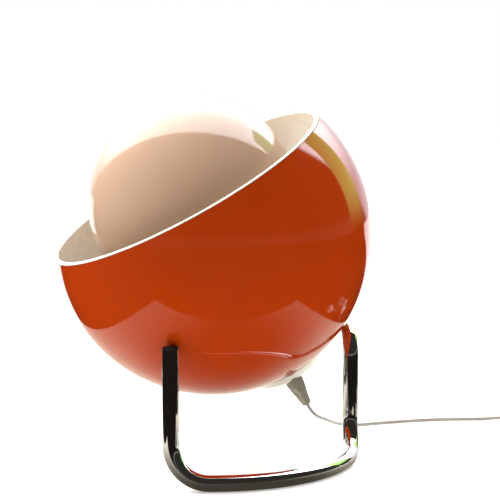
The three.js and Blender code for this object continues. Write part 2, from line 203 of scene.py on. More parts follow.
def skinned(name, rings, closed, sharp):
    """Surface through rings of points, closed round or capped at its ends. A ring of one point is a pole."""
    points = [point for ring in rings for point in ring]
    numbers = iter(range(len(points)))
    rings = [[next(numbers) for _ in ring] for ring in rings]
    pairs = list(zip(rings, rings[1:]))
    faces = []
    if closed:
        pairs.append((rings[-1], rings[0]))
    for low, high in pairs:
        for k in range(max(len(low), len(high))):
            corners = [ring[j % len(ring)] for ring, j in ((low, k), (low, k + 1), (high, k + 1), (high, k))]
            corners = list(dict.fromkeys(corners))
            if len(corners) > 2:
                faces.append(corners)
    if not closed:
        faces += [ring for ring in (rings[0][::-1], rings[-1]) if len(ring) > 2]
    return piece(name, points, faces, sharp)


def turned(name, outline, place=LAMP, sides=96, closed=True, shape=None, sharp=35):
    """Outline of (radius, z) turned about +Z. shape(angle, radius, z) may change each point's radius."""
    rings = []
    for radius, z in outline:
        ring = []
        for k in range(1 if radius < 1e-7 else sides):
            angle = tau * k / sides
            r = shape(angle, radius, z) if shape and radius >= 1e-7 else radius
            ring.append(place @ Vector((r * cos(angle), r * sin(angle), z)))
        rings.append(ring)
    return skinned(name, rings, closed, sharp)


def frames_along(path):
    """(point, side, top) along a path, without twist."""
    tangents = [(b - a).normalized() for a, b in zip(path, path[1:])]
    between = [(a + b).normalized() for a, b in zip(tangents, tangents[1:])]
    tangents = [tangents[0], *between, tangents[-1]]
    side = tangents[0].orthogonal().normalized()
    result = []
    for i, (point, tangent) in enumerate(zip(path, tangents)):
        if i:
            side = tangents[i - 1].rotation_difference(tangent) @ side
        side = (side - tangent * side.dot(tangent)).normalized()
        result.append((point, side, tangent.cross(side)))
    return result


def swept(name, path, radius, sides=20, bore=None, shape=None, sharp=35):
    """Round tube along a path, hollow with a bore. shape(i, count) may change the radius along the path."""
    along = frames_along(path)
    walls = [(radius, along)]
    if bore:
        walls.append((bore, along[::-1]))
    rings = []
    for wall, stations in walls:
        for i, (point, side, top) in enumerate(stations):
            r = wall + (shape(i, len(path)) if shape and wall == radius else 0)
            angles = (tau * k / sides for k in range(sides))
            rings.append([point + (side * cos(a) + top * sin(a)) * r for a in angles])
    return skinned(name, rings, bore is not None, sharp)


def layered(name, layers, place=Matrix(), sharp=35):
    """Closed body through level outlines: layers are (outline, z), and the first and last are capped."""
    rings = [[place @ Vector((x, y, z)) for x, y in outline] for outline, z in layers]
    return skinned(name, rings, False, sharp)


def cut_away(body, *tools):
    """Cuts the tools out of the body and removes them."""
    for tool in tools:
        modifier = body.modifiers.new("cut", "BOOLEAN")
        modifier.operation = "DIFFERENCE"
        modifier.solver = "EXACT"
        modifier.object = tool
    settle(body)
    for tool in tools:
        bpy.data.objects.remove(tool)
    return body


def drill(place, radius, half):
    """Tool for a round hole along +Z of a place; its radius and half length are in millimetres."""
    outline = from_mm([(0, -half), (radius, -half), (radius, half), (0, half)])
    return turned("drill", outline, place, 24, closed=False)


def settle(obj, sharp=35):
    """Applies the object's modifiers to its mesh."""
    graph = bpy.context.evaluated_depsgraph_get()
    mesh = bpy.data.meshes.new_from_object(obj.evaluated_get(graph))
    obj.modifiers.clear()
    obj.data = mesh
    shaded(mesh, sharp)
    return obj


def softened(obj, width, segments=3):
    modifier = obj.modifiers.new("edges", "BEVEL")
    modifier.width = width
    modifier.segments = segments
    modifier.limit_method = "ANGLE"
    modifier.angle_limit = radians(30)
    return settle(obj, 40)


def joined(first, *others):
    """Puts the others' meshes into the first object."""
    work = bmesh.new()
    for obj in (first, *others):
        work.from_mesh(obj.data)
    work.to_mesh(first.data)
    work.free()
    shaded(first.data, 35)
    for obj in others:
        bpy.data.objects.remove(obj)
    return first


# ---------- materials ----------
class Nodes:
    """Short calls for the shader nodes that the materials and the world use."""

    def __init__(self, tree):
        self.tree = tree

    def node(self, kind, **settings):
        node = self.tree.nodes.new(f"ShaderNode{kind}")
        for key, value in settings.items():
            setattr(node, key, value)
        return node

    def feed(self, socket, value):
        """Gives a socket a number, a vector or a colour, or links another node's output to it."""
        if isinstance(value, bpy.types.NodeSocket):
            self.tree.links.new(value, socket)
        else:
            socket.default_value = (*value, 1) if socket.type == "RGBA" else value

    def fed(self, kind, values, **settings):
        """A node with values for its sockets, each given by name or by number."""
        node = self.node(kind, **settings)
        for socket, value in values.items():
            self.feed(node.inputs[socket], value)
        return node

    def ranged(self, value, low, high, to_low=0, to_high=1):
        values = {"Value": value, "From Min": low, "From Max": high, "To Min": to_low, "To Max": to_high}
        return self.fed("MapRange", values, interpolation_type="SMOOTHSTEP").outputs["Result"]

    def blend(self, share, a, b):
        return self.fed("Mix", {0: share, 6: a, 7: b}, data_type="RGBA").outputs[2]

    def plus(self, a, b):
        return self.fed("Math", {0: a, 1: b}, operation="ADD").outputs[0]

    def times(self, a, b):
        return self.fed("Math", {0: a, 1: b}, operation="MULTIPLY").outputs[0]

    def vector(self, operation, a, *b):
        node = self.fed("VectorMath", dict(enumerate((a, *b))), operation=operation)
        return node.outputs["Value" if operation in ("DOT_PRODUCT", "LENGTH") else "Vector"]


class Principled(Nodes):
    """A new material and its Principled shader, with fixed values given by the names of its sockets."""

    def __init__(self, name, **fixed):
        self.name = name
        self.material = bpy.data.materials.new(name)
        self.material.use_nodes = True
        super().__init__(self.material.node_tree)
        self.shader = self.tree.nodes["Principled BSDF"]
        self.place = self.node("TexCoord").outputs["Object"]
        for socket, value in fixed.items():
            self.feed(self.shader.inputs[socket.replace("_", " ")], value)


class Finish(Principled):
    """Procedural finish: blotches of colour, uneven gloss and a fine grain."""

    def __init__(self, name, color, tint, rough, blotch=9.0, **fixed):
        super().__init__(name, **fixed)
        self.heights = []
        cloud = self.noise(blotch, 5)
        self.color = self.blend(self.ranged(cloud, 0.35, 0.65), color, tint)
        self.rough = self.ranged(self.noise(blotch * 3.7, 6), 0.3, 0.75, *rough)

    def noise(self, scale, detail=3, place=None):
        values = {"Scale": scale, "Detail": detail, "Vector": place or self.place}
        return self.fed("TexNoise", values).outputs["Fac"]

    # blends a colour and extra roughness in under a mask: real stains, dust and wear, and the painted shade
    # near the table
    def stain_and_shade(self, mask, color, share, gloss):
        self.color = self.blend(self.times(mask, share), self.color, color)
        self.rough = self.plus(self.rough, self.times(mask, gloss))
        return self

    def grain(self, scale, depth, detail=3):
        self.heights.append(self.times(self.noise(scale, detail), depth))
        return self

    def scratches(self, scale, turn, depth, gloss):
        """Hairlines: the crests of a long stretched noise, in patches."""
        along = self.fed("Mapping", {"Vector": self.place, "Scale": (1, 1, 0.03), "Rotation": turn})
        lines = self.ranged(self.noise(scale, 2, along.outputs["Vector"]), 0.66, 0.72)
        lines = self.times(lines, self.ranged(self.noise(14, 2), 0.45, 0.62))
        self.rough = self.plus(self.rough, self.times(lines, gloss))
        self.heights.append(self.times(lines, -depth))
        return self

    def specks(self, scale, size, color, share, gloss=0.2):
        """Small scattered dots of dust, pitting or wear."""
        cells = self.fed("TexVoronoi", {"Scale": scale, "Vector": self.place})
        dots = self.ranged(cells.outputs["Distance"], size * 0.6, size, 1, 0)
        dots = self.times(dots, self.ranged(self.noise(scale * 0.13, 2), 0.5, 0.62))
        return self.stain_and_shade(dots, color, share, gloss)

    def worn_edges(self, color, share):
        """Another colour where the surface is sharply convex."""
        edge = self.node("NewGeometry").outputs["Pointiness"]
        worn = self.times(self.ranged(edge, 0.53, 0.6, 0, share), self.noise(160, 3))
        return self.stain_and_shade(worn, color, 1, 0.2)

    def shade_near_table(self, low, high, color, share):
        """Painted shade: a darker colour towards the table, between two heights, where the tube meets the
        table.
        """
        height = self.fed("SeparateXYZ", {0: self.place}).outputs[2]
        level = self.ranged(height, low, high, share, 0)
        painted_shade = self.times(level, self.ranged(self.noise(60, 5), 0.35, 0.7, 0.2, 1))
        return self.stain_and_shade(painted_shade, color, 1, 0.3)

    def done(self):
        height = self.heights[0]
        for other in self.heights[1:]:
            height = self.plus(height, other)
        bump = self.fed("Bump", {"Strength": 1, "Distance": MM, "Height": height})
        found = {"Base Color": self.color, "Roughness": self.rough, "Normal": bump.outputs["Normal"]}
        for socket, value in found.items():
            self.feed(self.shader.inputs[socket], value)
        return self.material


def make_materials():
    dust = (0.75, 0.7, 0.62)
    finishes = [
        Finish("orange_shell", (0.35, 0.033, 0.0018), (0.32, 0.029, 0.0014), (0.04, 0.09), 5,
               Coat_Weight=0.25, Coat_Roughness=0.03, Coat_IOR=1.5, IOR=1.47)
        .grain(38, 0.01, 2).grain(900, 0.0015, 2)
        .scratches(420, (0.4, 0.9, 0.2), 0.0012, 0.1).scratches(350, (1.3, 0.1, 0.7), 0.0012, 0.1)
        .specks(260, 0.05, dust, 0.25),
        Finish("cream_liner", (0.94, 0.9, 0.8), (0.91, 0.85, 0.73), (0.26, 0.4), 14, IOR=1.46)
        .grain(220, 0.006).specks(260, 0.045, (0.55, 0.48, 0.38), 0.2),
        Finish("opal_glass", (0.5, 0.34, 0.24), (0.475, 0.32, 0.22), (0.05, 0.11), 4, IOR=1.5,
               Subsurface_Weight=0.25, Subsurface_Scale=0.006, Subsurface_Radius=(1.0, 0.7, 0.5))
        .grain(16, 0.03, 2).scratches(300, (0.2, 1.2, 0.5), 0.0008, 0.08).specks(190, 0.045, dust, 0.3),
        Finish("chrome", (0.8, 0.81, 0.82), (0.73, 0.74, 0.75), (0.025, 0.09), 18, Metallic=1)
        .grain(60, 0.004, 2).scratches(520, (0.1, 0.2, 0.0), 0.0015, 0.16)
        .scratches(600, (1.5, 0.3, 0.4), 0.0015, 0.16).specks(700, 0.1, (0.16, 0.13, 0.1), 0.75, 0.4)
        # painted shade: the chrome is darkened within 16 mm of the table, where the floor arc meets it
        .shade_near_table(0.0, 0.016, (0.33, 0.3, 0.27), 0.5),
        Finish("black_rubber", (0.014, 0.013, 0.012), (0.024, 0.022, 0.021), (0.5, 0.7), 40, IOR=1.3)
        .grain(900, 0.02).worn_edges((0.1, 0.095, 0.09), 0.8).specks(500, 0.12, dust, 0.25),
        Finish("beige_plastic", (0.255, 0.235, 0.175), (0.215, 0.195, 0.14), (0.34, 0.52), 70)
        .grain(1400, 0.02).grain(240, 0.02).worn_edges((0.52, 0.49, 0.42), 0.7)
        .specks(600, 0.13, (0.12, 0.1, 0.07), 0.5),
        Finish("zinc_steel", (0.56, 0.56, 0.55), (0.47, 0.46, 0.43), (0.24, 0.42), 60, Metallic=1)
        .grain(700, 0.01).specks(800, 0.15, (0.25, 0.2, 0.14), 0.5, 0.3),
        Finish("white_metal", (0.8, 0.79, 0.75), (0.74, 0.72, 0.67), (0.25, 0.42), 30, IOR=1.5)
        .grain(420, 0.02).worn_edges((0.42, 0.4, 0.38), 0.8).specks(400, 0.09, (0.35, 0.3, 0.25), 0.5),
        Finish("brass", (0.72, 0.52, 0.2), (0.55, 0.37, 0.13), (0.16, 0.36), 55, Metallic=1)
        .grain(900, 0.008).specks(800, 0.13, (0.22, 0.13, 0.05), 0.6, 0.3),
        Finish("ceramic", (0.82, 0.8, 0.74), (0.76, 0.73, 0.66), (0.35, 0.5), 60)
        .grain(1200, 0.02).specks(900, 0.12, (0.4, 0.36, 0.3), 0.4),
        Finish("clear_glass", (0.97, 0.98, 0.98), (0.95, 0.97, 0.97), (0.0, 0.03), 20, IOR=1.5,
               Transmission_Weight=1)
        .grain(30, 0.02, 2),
        Finish("black_plastic", (0.022, 0.018, 0.016), (0.035, 0.028, 0.024), (0.16, 0.34), 30)
        .grain(500, 0.008).worn_edges((0.12, 0.1, 0.09), 0.8).specks(500, 0.08, dust, 0.3),
        Finish("cord_sheath", (0.4, 0.385, 0.35), (0.34, 0.325, 0.295), (0.3, 0.48), 30)
        .grain(650, 0.02).specks(500, 0.11, (0.16, 0.14, 0.12), 0.45),
        Finish("white_plastic", (0.74, 0.71, 0.64), (0.69, 0.65, 0.57), (0.24, 0.4), 35)
        .grain(800, 0.014).worn_edges((0.86, 0.84, 0.8), 0.7).specks(500, 0.09, (0.3, 0.26, 0.2), 0.4),
    ]
    return {finish.name: finish.done() for finish in finishes}


MATERIALS = make_materials()
SLOT_OF = {row["node"]: row["material_slot"] for row in frame["record"]["subparts"]}


def dress(obj, slot):
    obj.data.materials.clear()
    obj.data.materials.append(MATERIALS[slot])
    return obj


def place_piece(obj, body, *nodes, slot=None):
    """Dresses a piece, makes it ride on a body and lets it stand for its CAD nodes."""
    dress(obj, slot or SLOT_OF[nodes[0]])
    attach(obj, body)
    if nodes:
        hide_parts(*nodes)
    return obj


def lathe(name, node, corners, sides=96, body="ball", **options):
    """Turned piece that stands for a CAD node, from corners as filleted takes them."""
    place_piece(turned(name, filleted(corners), sides=sides, **options), body, node)


def dress_nodes(*nodes):
    """CAD nodes that stay: only their material changes."""
    for node in nodes:
        for material_slot in frame["nodes"][node].material_slots:
            material_slot.material = MATERIALS[SLOT_OF[node]]


# ---------- ball ----------
SHELL = Turned("outer_shell")
LINER = Turned("inner_liner")
GLOBE = Turned("opal_globe")
PLATE = Turned("pole_plate")
CONE = Turned("cord_cone")
GALLERY = Turned("gallery_cup")
HOLDER_CAP = Turned("holder_cap")
HOLDER_BODY = Turned("holder_body")
GLOBE_R = 100 * MM
GLASS = 3 * MM
CORD_R = 1.7 * MM
SCREWS = ("gallery_screw_1", "gallery_screw_2", "gallery_screw_3")


def shell_wall(radius, hole, plane):
    """Sphere about the ball's centre, from its hole at the pole up to a level plane."""
    return arc(radius, 0, asin(hole / radius), acos(-plane / radius), 80)


def outer_shell():
    outside, inside = (shell_wall(radius, SHELL.inner, SHELL.high) for radius in (SHELL.far, SHELL.near))
    lathe("shell", "outer_shell", outside + inside[::-1], 192)


def inner_liner():
    """Thin bowl whose rolled lip lies on the shell's cut edge."""
    wall_r = SHELL.near - GAP
    under = SHELL.high + GAP
    lip = 1.1 * MM
    outside = shell_wall(wall_r, LINER.inner, under)
    inside = shell_wall(LINER.near, LINER.inner, under + lip)
    edge = sqrt(SHELL.far ** 2 - (under + lip / 2) ** 2) - lip / 2
    roll = [(edge + lip / 2 * sin(a), under + lip / 2 - lip / 2 * cos(a))
            for a in (pi * k / 10 for k in range(11))]
    lathe("liner", "inner_liner", outside + roll + inside[::-1], 192)


def opal_globe():
    """Blown globe: the neck runs into the sphere with a soft shoulder and ends in a ground rim."""
    centre = GLOBE.high - GLOBE_R
    neck_r = 40 * MM
    shoulder = 7 * MM
    # centre of the shoulder's circle, which touches both the sphere and the neck
    out = neck_r + shoulder
    down = sqrt((GLOBE_R + shoulder) ** 2 - out ** 2)
    turn = atan2(out, down)

    def wall(inset):
        r = shoulder + inset
        bend = [(out - r * cos(a), centre - down + r * sin(a))
                for a in ((pi / 2 - turn) * k / 10 for k in range(11))]
        ball = arc(GLOBE_R - inset, centre, turn, pi, 90)
        return bend + ball[1:]

    outer = wall(0)
    inner = wall(GLASS)
    low = GLOBE.low
    bore = neck_r - GLASS
    rim = filleted([(bore, low + 6 * MM), (bore, low, 1 * MM), (neck_r, low, 1 * MM), (neck_r, low + 6 * MM)])
    outline = inner[::-1] + rim + outer
    outline[0] = (0, outline[0][1])
    outline[-1] = (0, outline[-1][1])
    lathe("globe", "opal_globe", outline, 160, "globe", closed=False)


def pole_plate():
    """Spun cup with a rolled rim and a flat bottom."""
    sheet = 1.2 * MM
    rim_r = PLATE.outer
    rim_z = -144.6 * MM
    flat_r = 20 * MM
    face = PLATE.low
    sweep = [(rim_r + (flat_r - rim_r) * t, rim_z + (face - rim_z) * sin(t * pi / 2) ** 1.15)
             for t in (k / 24 for k in range(25))]
    back = [(r - sheet * 0.6, z + sheet) for r, z in sweep]
    bead = [(rim_r - 0.5 * sheet * (1 - cos(a)), rim_z + 0.55 * sheet * sin(a))
            for a in (pi * k / 8 for k in range(1, 8))]
    hole = [(PLATE.inner, face), (PLATE.inner, face + sheet)]
    lathe("plate", "pole_plate", sweep + hole + back[::-1] + bead[::-1], 128)


def cord_cone():
    """Moulded strain relief: a short neck at the plate, a rounded shoulder, a long taper and a soft nose."""
    top = CONE.high
    nose = CONE.low
    bore = CORD_R + 0.25 * MM
    shoulder = [(5.4, 0), (6.7, 0, 0.3), (6.7, -1.9, 0.5), (8.5, -4.8, 1.5)]
    taper = [(8.3, -12.5, 4), (7.3, -18, 6), (6.2, -23, 6)]
    corners = [
        *from_mm(shoulder, top), (CONE.outer - 0.1 * MM, top - 8 * MM, 2 * MM), *from_mm(taper, top),
        *from_mm([(4.7, 2.6, 2), (4.1, 0, 1.4)], nose), (bore, nose, 0.4 * MM), (bore, top - 7 * MM),
        *from_mm([(5.4, -7)], top),
    ]
    lathe("strain_relief", "cord_cone", corners, 48)


def threaded(name, node, pitch, depth, body, sides=32, inside=False):
    """Tube with a real screw thread on its outside, or on its inside."""
    span = Turned(node)
    crest = span.inner if inside else span.outer
    plain = span.outer if inside else span.inner
    rows = max(8, round((span.high - span.low) / pitch * 6))
    wave = [(crest, span.low + (span.high - span.low) * i / rows) for i in range(rows + 1)]

    def thread(angle, radius, z):
        if abs(radius - crest) > 1e-6:
            return radius
        phase = (z / pitch - angle / tau) % 1
        bite = depth * (1 - abs(2 * phase - 1))
        ends = min(1, (z - span.low) / pitch, (span.high - z) / pitch)
        return radius + (bite if inside else -bite) * max(0.25, ends)

    outline = wave + [(plain, span.high), (plain, span.low)]
    lathe(name, node, outline, sides, body, shape=thread, sharp=80)


def nut(name, node):
    """Hexagon nut, chamfered on both faces."""
    span = Turned(node)
    flat = span.outer * cos(pi / 6)
    chamfer = 1.0 * MM
    heights = [span.low + chamfer * k / 4 for k in range(5)]
    heights += [span.high - chamfer * k / 4 for k in range(4, -1, -1)]
    outline = [(span.inner, span.low)] + [(span.outer, z) for z in heights] + [(span.inner, span.high)]

    def hexagon(angle, radius, z):
        if radius < span.outer - 1e-6:
            return radius
        side = flat / cos(angle % (pi / 3) - pi / 6)
        slope = flat * 0.97 + min(z - span.low, span.high - z) * 1.9
        return min(side, slope)

    lathe(name, node, outline, shape=hexagon, sharp=25)


def at_screw(centre, x, z):
    """Place square to the lamp's axis, at the angle of a thumb screw's centre in the lamp's frame."""
    turn = Matrix.Rotation(atan2(centre.y, centre.x), 4, "Z")
    return LAMP @ turn @ Matrix.Translation((x, 0, z)) @ Z_TO_X


def gallery_cup():
    """Spun cup for the globe's neck, with a rolled rim and a clear hole for each thumb screw."""
    sheet = 1.2 * MM
    r, low, high = GALLERY.outer, GALLERY.low, GALLERY.high
    corners = [
        (GALLERY.inner, low), (r, low, 3 * MM), (r, high, 0.5 * MM), (r - sheet, high, 0.5 * MM),
        (r - sheet, low + sheet, 2 * MM), (GALLERY.inner, low + sheet),
    ]
    cup = turned("gallery", filleted(corners, 8), sides=120)
    screws = [TO_LAMP @ middle(node) for node in SCREWS]
    cut_away(cup, *(drill(at_screw(at, r, at.z), 2.3, 4) for at in screws))
    place_piece(cup, "ball", "gallery_cup")


def gallery_screws():
    """Thumb screws with a knurled head and a threaded shank."""
    level = -65 * MM
    tip = 40.3 * MM
    seat = GALLERY.outer + GAP
    shank = [(2 * MM if k % 2 else 1.75 * MM, tip + 0.4 * MM + k * 0.25 * MM) for k in range(11)]
    head = from_mm([(2, 0), (3.4, 0), (4, 0.5), (4, 5.6), (3.5, 6.3), (2.4, 7), (1.6, 6.7), (0, 6.6)], seat)

    def knurl(angle, radius, z):
        if radius < 3.9 * MM:
            return radius
        return radius - 0.22 * MM * (0.5 + 0.5 * cos(angle * 24))

    for number, node in enumerate(SCREWS, 1):
        place = at_screw(TO_LAMP @ middle(node), 0, level)
        outline = [(0, tip), (1.4 * MM, tip), *shank, *head]
        lathe(f"thumb_screw_{number}", node, outline, place=place, closed=False, shape=knurl, sharp=28)


def lamp_holder():
    """Ribbed cap, turned body and ceramic block of the lampholder."""
    r = HOLDER_CAP.outer
    low, high = HOLDER_CAP.low, HOLDER_CAP.high
    wall = 1.8 * MM
    corners = [
        *from_mm([(5.4, 0), (12, 0, 1), (16, 3, 3)], low), (r, low + 12 * MM, 4 * MM),
        (r, high - 3.2 * MM, 0.4 * MM), (r - 0.7 * MM, high - 2.8 * MM, 0.3 * MM), (r - 0.7 * MM, high),
        (r - wall, high), (r - wall, low + 12.4 * MM, 3 * MM),
        *from_mm([(14.8, 4.8, 2), (11.4, 1.8), (5.4, 1.8)], low),
    ]

    def grip(angle, radius, z):
        if radius < r - 0.3 * MM or not low + 10.5 * MM < z < high - 2 * MM:
            return radius
        return radius - 0.35 * MM * (0.5 + 0.5 * cos(angle * 36)) ** 2

    lathe("holder_shoulder", "holder_cap", corners, 180, shape=grip)
    low, high = HOLDER_BODY.low, HOLDER_BODY.high
    skirt = from_mm([(16.6, 0), (19.5, 0, 0.4), (19.5, 3.2, 0.6), (18.5, 4.4, 0.6), (18.2, 14)], low)
    skirt += from_mm([(18, -1.4, 0.5), (17.6, 0, 0.5), (16.6, 0, 0.3)], high)
    lathe("holder_skirt", "holder_body", skirt)
    block = Turned("contact_block")
    corners = [(0, block.low), (block.outer, block.low, MM), (block.outer, block.high, MM),
               *from_mm([(9, 0), (8.6, -0.8), (0, -0.8)], block.high)]
    lathe("contact_disc", "contact_block", corners, 64, closed=False)


def bulb():
    """Clear bulb: pear glass, screw cap, solder point, glass stem, supports and a coiled filament."""
    threaded("bulb_thread", "bulb_cap", 3.62 * MM, 0.8 * MM, "bulb", sides=64)
    glass = Turned("bulb_glass")
    wall = 0.8 * MM
    pear = from_mm([(12.4, -19.6), (13, -13), (15.6, -4), (20.4, 5), (25.6, 14.5), (29.2, 24), (30, 33),
                    (28.2, 43.5), (23.2, 53), (15.2, 59.6), (7.2, 62.2)]) + [(0, glass.high)]
    profile = [(max(p.x, 0), p.z) for p in spline([Vector((r, 0, z)) for r, z in pear], 6)]
    profile[-1] = (0, glass.high)
    inside = [(max(r - wall, 0), z - wall * max(0, z) / glass.high) for r, z in profile]
    lathe("bulb_envelope", "bulb_glass", inside[::-1] + profile, 72, "bulb", closed=False)
    foot = Turned("bulb_stem")
    stem = [(0, foot.low), (foot.outer, foot.low, MM), *from_mm([(9.5, -14, 3), (3.4, -7, 3), (2.4, 12, 1)]),
            (3 * MM, 16 * MM, 1.2 * MM), *from_mm([(1.6, 0, 1.4), (0, 0)], foot.high)]
    lathe("glass_stem", "bulb_stem", stem, 40, "bulb", closed=False)
    wires = []
    for side in (-1, 1):
        route = [Vector((side * x, 0, z)) for x, z in ((1.6, 11), (4, 20), (12, 33), (13.5, 37))]
        wires.append(swept("support", [LAMP @ (p * MM) for p in spline(route, 6)], 0.35 * MM, 8))
    coil = []
    reach = 13.5
    for k in range(321):
        x = reach * (k / 160 - 1)
        turn = tau * k / 10
        arch = 3.5 * cos(x / reach * pi / 2)
        coil.append(LAMP @ (Vector((x, 0.5 * cos(turn), 37 + arch + 0.5 * sin(turn))) * MM))
    wires.append(swept("filament", coil, 0.12 * MM, 5))
    place_piece(joined(*wires), "bulb", slot="zinc_steel")
    tip = Turned("bulb_contact")
    corners = from_mm([(0, 0), (3.6, 0, 0.8), (5, 0.7)], tip.low) + from_mm([(8.6, 0), (0, 0)], tip.high)
    lathe("bulb_tip", "bulb_contact", corners, 40, "bulb", closed=False)


def washer():
    span = Turned("wall_washer")
    corners = [(span.inner, span.low), (span.outer, span.low, 0.3 * MM), (span.outer, span.high, 0.3 * MM),
               (span.inner, span.high)]
    lathe("washer", "wall_washer", corners, 64)


outer_shell()
inner_liner()
opal_globe()
pole_plate()
cord_cone()
threaded("rod", "threaded_rod", 1.0 * MM, 0.5 * MM, "ball", sides=28)
washer()
nut("nut_at_wall", "wall_nut")
nut("nut_under_gallery", "lower_gallery_nut")
nut("nut_in_gallery", "upper_gallery_nut")
gallery_cup()
gallery_screws()
lamp_holder()
threaded("holder_thread", "screw_shell", 3.62 * MM, 0.45 * MM, "ball", sides=64, inside=True)
bulb()
dress_nodes("centre_contact", "inner_cable")


# ---------- stand ----------
TUBE_R = 7.5 * MM
TUBE_BORE_R = 6.5 * MM
SLEEVE_R = 9.3 * MM
SLEEVE_BORE_R = 8.2 * MM
FLOOR_BEND_R = 34 * MM
UPPER_BEND_R = 26 * MM
PLUG = middle("top_plug")
FOOT = middle("foot_plug")
STAND_R = hypot(PLUG.x, PLUG.y)
ARC_Z = middle("rest_sleeve_1").z


def on_stand(along, z):
    """Point on the upright cylinder that the stand lies on, from the distance along it."""
    return Vector((STAND_R * cos(along / STAND_R), STAND_R * sin(along / STAND_R), z))


def stand_path():
    """Post, floor arc, post, upper arc and post, with round bends, laid out flat and then wrapped."""
    first = atan2(PLUG.y, PLUG.x) * STAND_R
    last = atan2(FOOT.y, FOOT.x) * STAND_R
    second = (first + last) / 2
    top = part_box("top_plug")[1].z - 2.8 * MM
    foot = 4 * MM
    step = 3 * MM
    corners = [(first, top), (first, TUBE_R), (second, TUBE_R), (second, ARC_Z), (last, ARC_Z), (last, foot)]
    flat = [Vector(corners[0])]
    for before, here, after in zip(corners, corners[1:], corners[2:]):
        here = Vector(here)
        back = (Vector(before) - here).normalized()
        ahead = (Vector(after) - here).normalized()
        bend_r = UPPER_BEND_R if here.y > ARC_Z / 2 else FLOOR_BEND_R
        centre = here + (back + ahead) * bend_r
        for k in range(19):
            turn = pi / 2 * k / 18
            flat.append(centre - ahead * bend_r * cos(turn) - back * bend_r * sin(turn))
    flat.append(Vector(corners[-1]))
    path = []
    for a, b in zip(flat, flat[1:]):
        parts = max(1, round((b - a).length / step))
        path += [a.lerp(b, k / parts) for k in range(parts)]
    path.append(flat[-1])
    return [on_stand(p.x, p.y) for p in path]


def end_plug(name, node, place, flange_r, flange, crown):
    """Push-in plug, made with its face up: a ribbed stem for the tube's bore and a rounded flange."""
    root = TUBE_BORE_R - 0.8 * MM
    stem = 13.5 * MM
    outline = [(0, 0), (flange_r * 0.6, -0.1 * MM), (flange_r - crown, -0.35 * MM, crown),
               (flange_r, -crown - 0.2 * MM, 0.4 * MM), (flange_r, -flange, 0.3 * MM), (root, -flange)]
    for k in range(4):
        z = -flange - stem * (0.25 + 0.2 * k)
        outline += [(root, z + 0.9 * MM), (root + 0.3 * MM, z + 0.3 * MM), (root + 0.3 * MM, z)]
        outline.append((root, z - 0.2 * MM))
    outline += [(root - 0.6 * MM, -flange - stem, 0.6 * MM), (0, -flange - stem)]
    lathe(name, node, outline, 56, "stand", place=place, closed=False)


def rest_sleeves():
    """Soft sleeves with rounded ends and shallow rings."""
    half = 12 * MM
    count = 48

    def rings(k, total):
        end = min(k, total - 1 - k) * 2 * half / count
        rounding = -1.0 * MM * max(0, 1 - end / (1.2 * MM)) ** 2
        return rounding - (0.18 * MM if k % 6 == 3 else 0)

    for i in (1, 2):
        node = f"rest_sleeve_{i}"
        at = middle(node)
        start = atan2(at.y, at.x) * STAND_R - half
        path = [on_stand(start + 2 * half * k / count, ARC_Z) for k in range(count + 1)]
        place_piece(swept(f"sleeve_{i}", path, SLEEVE_R, 40, SLEEVE_BORE_R, rings), "stand", node)


place_piece(swept("tube", stand_path(), TUBE_R, 40, TUBE_BORE_R, sharp=50), "stand", "stand_tube")
end_plug("front_plug", "top_plug", Matrix.Translation((PLUG.x, PLUG.y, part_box("top_plug")[1].z)),
         TUBE_R, 2.5 * MM, 1.6 * MM)
end_plug("rear_foot", "foot_plug",
         Matrix.Translation((FOOT.x, FOOT.y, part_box("foot_plug")[0].z)) @ Matrix.Rotation(pi, 4, "X"),
         TUBE_R + 0.6 * MM, 3.7 * MM, 1 * MM)
rest_sleeves()


# ---------- cord, switch, coil and plug ----------
def metres(rows):
    return [Vector(row) * MM for row in rows]


SWITCH = middle("switch_base")
SWITCH_LOW, SWITCH_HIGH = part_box("switch_base")
COVER_LOW, COVER_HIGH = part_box("switch_cover")
COIL = middle("cord_coil")
PLUG_AT = Vector((324, 32, 0)) * MM
ENTRY_Z = 5
CORD_EXIT = LAMP @ Vector((0, 0, CONE.low))
DROP_POINTS = metres([
    [93.2, 27.8, 41.7], [97.8, 31.5, 35.9], [102.6, 40, 31.2], [107.5, 54, 26.8], [112.3, 71, 21.6],
    [117, 89, 16.2], [122.4, 105.5, 11.3], [128.2, 118.2, 7.6],
])
RUN_POINTS = metres([
    [132.2, 124.8, 5.7], [139.4, 133.9, 3.3], [150.5, 142.3, 1.9], [165, 148.7, 1.8], [189, 157, 1.8],
    [215, 164.5, 1.8], [245, 169.5, 1.8], [275, 171, 1.9], [295, 170.4, 2.9], [305, 170, 4.4],
    [311.7, 170, ENTRY_Z],
])
LINK_POINTS = metres([
    [372.3, 170, ENTRY_Z], [378, 169.3, 4.8], [383.3, 167.1, 4.1], [387.9, 163.6, 3.2], [391.4, 159, 2.4],
    [393.6, 153.7, 1.9], [394.3, 148, 1.8], [394.2, 141, 1.8], [394.1, 131.4, 1.8],
])
TAIL_POINTS = metres([
    [357.3, 94.4, 1.8], [351.5, 94.3, 1.8], [346, 94.2, 1.8], [340.3, 93.4, 1.8], [335, 91.3, 1.9],
    [330.4, 87.8, 2.3], [326.9, 83.2, 2.9], [324.7, 77.9, 3.7], [324, 72.2, 4.6], [324, 66, 5.5],
    [324, 59.3, 6],
])
INSIDE_SWITCH = 4 * MM


def ease(value, start, end):
    t = min(1, max(0, (value - start) / (end - start)))
    return t * t * (3 - 2 * t)


